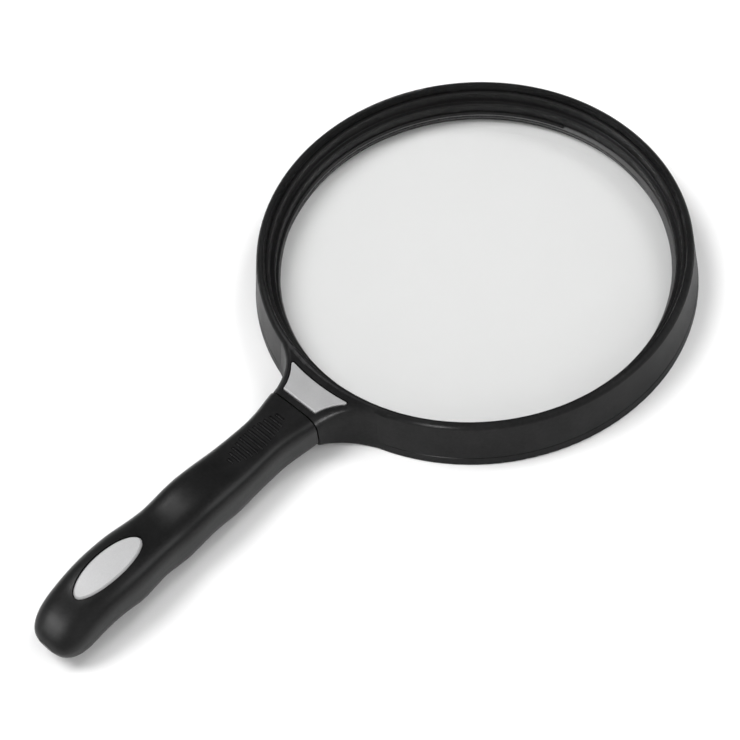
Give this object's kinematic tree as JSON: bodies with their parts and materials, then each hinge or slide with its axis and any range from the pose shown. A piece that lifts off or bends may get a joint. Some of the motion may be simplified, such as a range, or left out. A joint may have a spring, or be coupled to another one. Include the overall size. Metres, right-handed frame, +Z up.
{
  "type": "magnifying glass",
  "caption": "Large round handheld magnifying glass: glass lens clipped in a stepped black ring, with a neck inlay and a soft contoured handle with an oval inlay.",
  "frame": {"origin": "middle of the footprint box on the resting plane, with the magnifier lying flat on its ring", "axes": "+Y from the handle's tip towards the lens ring, +Z up out of the lens's open side, +X to the right of the handle"},
  "size_m": [0.1498, 0.2705, 0.0216],
  "materials": {
    "frame_plastic": "fine satin",
    "lens_glass": "polished, ground rim",
    "silver_plastic": "satin silver paint",
    "core_plastic": "as moulded",
    "screw_steel": "zinc plated",
    "grip_rubber": "matte soft-touch"
  },
  "bodies": {
    "root": {"frame": "frame_plastic", "lens": "lens_glass", "lens_retaining_ring": "frame_plastic", "lens_snap_ring": "frame_plastic", "neck_inlay": "silver_plastic", "handle_core_upper": "core_plastic", "handle_core_lower": "core_plastic", "core_screws": "screw_steel", "grip_sleeve": "grip_rubber", "handle_inlay": "silver_plastic"}
  },
  "joints": []
}
